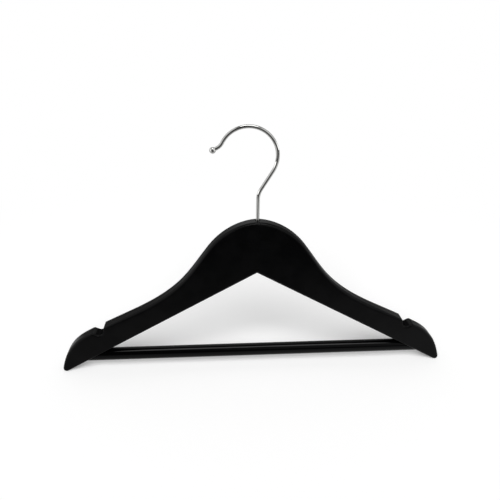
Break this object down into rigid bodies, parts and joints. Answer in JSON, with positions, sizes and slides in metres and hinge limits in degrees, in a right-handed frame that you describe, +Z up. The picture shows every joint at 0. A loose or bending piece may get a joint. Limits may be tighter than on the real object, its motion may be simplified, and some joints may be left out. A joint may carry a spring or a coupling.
{
  "type": "wooden clothes hanger",
  "caption": "Junior clothes hanger of lacquered shaped boards with strap notches, a round trouser bar and a swivelling wire hook with a ball tip.",
  "frame": {"origin": "crown of the hook's inner side, where a rail carries the hanger", "axes": "+X along the hanger to its right as seen from the front, +Y through the boards to the back, +Z up along the hook's stem"},
  "size_m": [0.3499, 0.0136, 0.2206],
  "materials": {
    "board_lacquer": "black satin lacquer",
    "bar_lacquer": "black gloss lacquer",
    "hook_chrome": "polished",
    "sleeve_steel": "plain",
    "brad_steel": "plain"
  },
  "bodies": {
    "hook_wire": {"hook": "hook_chrome"},
    "hanger": {"hook_sleeve": "sleeve_steel", "left_arm": "board_lacquer", "right_arm": "board_lacquer", "trouser_bar": "bar_lacquer", "bar_pin_left": "brad_steel", "bar_pin_right": "brad_steel"}
  },
  "joints": [
    {"name": "hook_swivel", "type": "hinge", "parent": "hook_wire", "child": "hanger", "pos_m": [0.00832, 0, -0.08], "axis": [0, 0, 1], "continuous": true}
  ]
}
